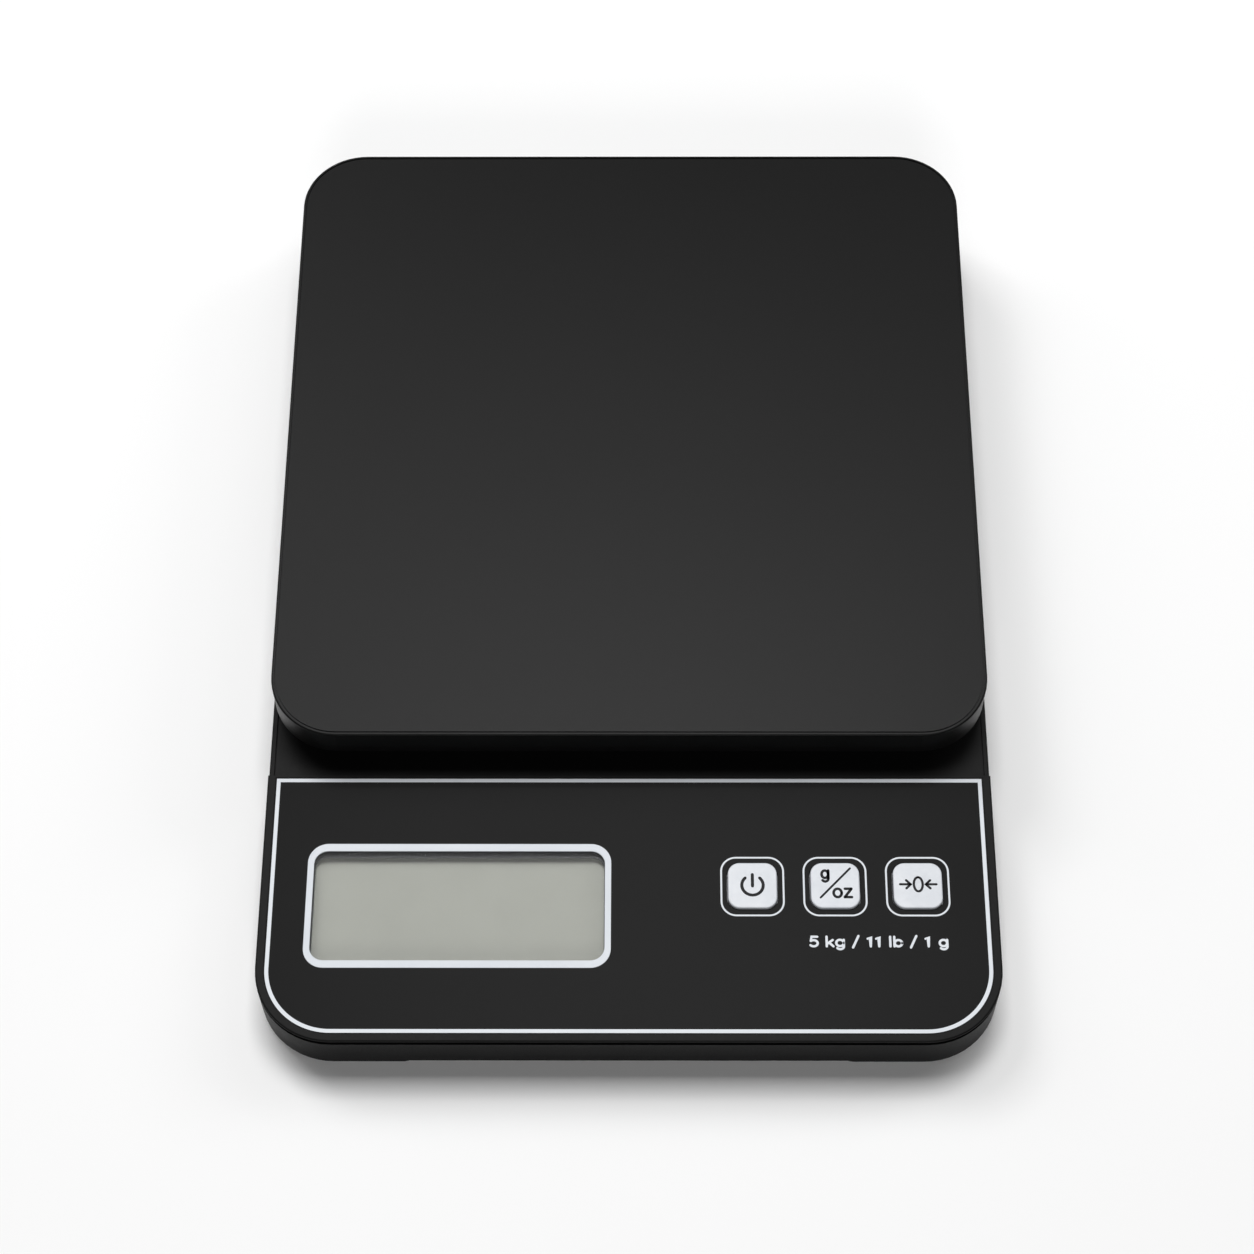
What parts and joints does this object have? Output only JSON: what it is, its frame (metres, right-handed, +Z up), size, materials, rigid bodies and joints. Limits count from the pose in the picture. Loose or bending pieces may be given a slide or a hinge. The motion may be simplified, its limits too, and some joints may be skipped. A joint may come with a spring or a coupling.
{
  "type": "kitchen scale",
  "caption": "Flat digital kitchen scale with a square lifted platter on a bending bar, and a front strip with a display window and push buttons.",
  "frame": {"origin": "centre of the footprint, on the surface that the feet stand on", "axes": "+Z up, +Y to the rear, +X to the right as seen from the control strip"},
  "size_m": [0.167, 0.235, 0.0277],
  "materials": {
    "black_abs": "fine moulded texture, satin",
    "panel_film": "smooth satin film with printed border",
    "white_trim": "smooth moulded",
    "button_abs": "satin moulded with printed symbols",
    "clear_window": "clear polished acrylic",
    "display_glass": "smooth reflective display behind a polariser",
    "pale_abs": "moulded",
    "grey_elastomer": "soft, layered",
    "circuit_board": "solder mask over copper tracks",
    "steel": "zinc plated",
    "black_epoxy": "cast epoxy",
    "capacitor_sleeve": "shrink sleeve",
    "switch_housing": "moulded",
    "aluminium": "milled",
    "gauge_foil": "etched foil",
    "white_sealant": "soft silicone",
    "frame_nylon": "glass-filled nylon",
    "black_rubber": "matt moulded rubber",
    "battery_wrap": "plain shrink wrap over a steel can",
    "red_lead": "PVC insulation",
    "black_lead": "PVC insulation"
  },
  "bodies": {
    "base": {"top_cover": "black_abs", "bottom_cover": "black_abs", "panel_overlay": "panel_film", "display_bezel": "white_trim", "display_lens": "clear_window", "lcd_glass": "display_glass", "lcd_holder": "pale_abs", "zebra_strips": "grey_elastomer", "main_board": "circuit_board", "board_screws": "steel", "chip_blob": "black_epoxy", "crystal": "steel", "capacitors": "capacitor_sleeve", "resistors": "black_epoxy", "tact_switches": "switch_housing", "load_cell": "aluminium", "strain_gauges": "gauge_foil", "gauge_potting": "white_sealant", "load_cell_screws": "steel", "battery_cells": "battery_wrap", "battery_springs": "steel", "battery_plates": "steel", "battery_bridge": "steel", "housing_screws": "steel", "rubber_feet": "black_rubber", "load_cell_wires": "red_lead", "battery_wires": "black_lead"},
    "platter_unit": {"cell_spacer": "aluminium", "platter_frame": "frame_nylon", "frame_screws": "steel", "platter_bushes": "black_rubber", "platter": "black_abs"},
    "power_key": {"button_power": "button_abs", "plunger_power": "black_epoxy"},
    "units_key": {"button_units": "button_abs", "plunger_units": "black_epoxy"},
    "tare_key": {"button_tare": "button_abs", "plunger_tare": "black_epoxy"},
    "battery_lid": {"battery_door": "black_abs"}
  },
  "joints": [
    {"name": "platter_travel", "type": "slide", "parent": "base", "child": "platter_unit", "axis": [0, 0, 1], "range_m": [-0.0005, 0], "stiffness_N_per_m": 98000, "springref_m": 0.00001, "deforming": ["load_cell"]},
    {"name": "power_press", "type": "slide", "parent": "base", "child": "power_key", "axis": [0, 0, 1], "range_m": [-0.0003, 0], "stiffness_N_per_m": 4000, "springref_m": 0.0001},
    {"name": "units_press", "type": "slide", "parent": "base", "child": "units_key", "axis": [0, 0, 1], "range_m": [-0.0003, 0], "stiffness_N_per_m": 4000, "springref_m": 0.0001},
    {"name": "tare_press", "type": "slide", "parent": "base", "child": "tare_key", "axis": [0, 0, 1], "range_m": [-0.0003, 0], "stiffness_N_per_m": 4000, "springref_m": 0.0001},
    {"name": "battery_door_hinge", "type": "hinge", "parent": "base", "child": "battery_lid", "pos_m": [0, 0.0803, 0.002], "axis": [1, 0, 0], "range_deg": [-75, 0]}
  ]
}
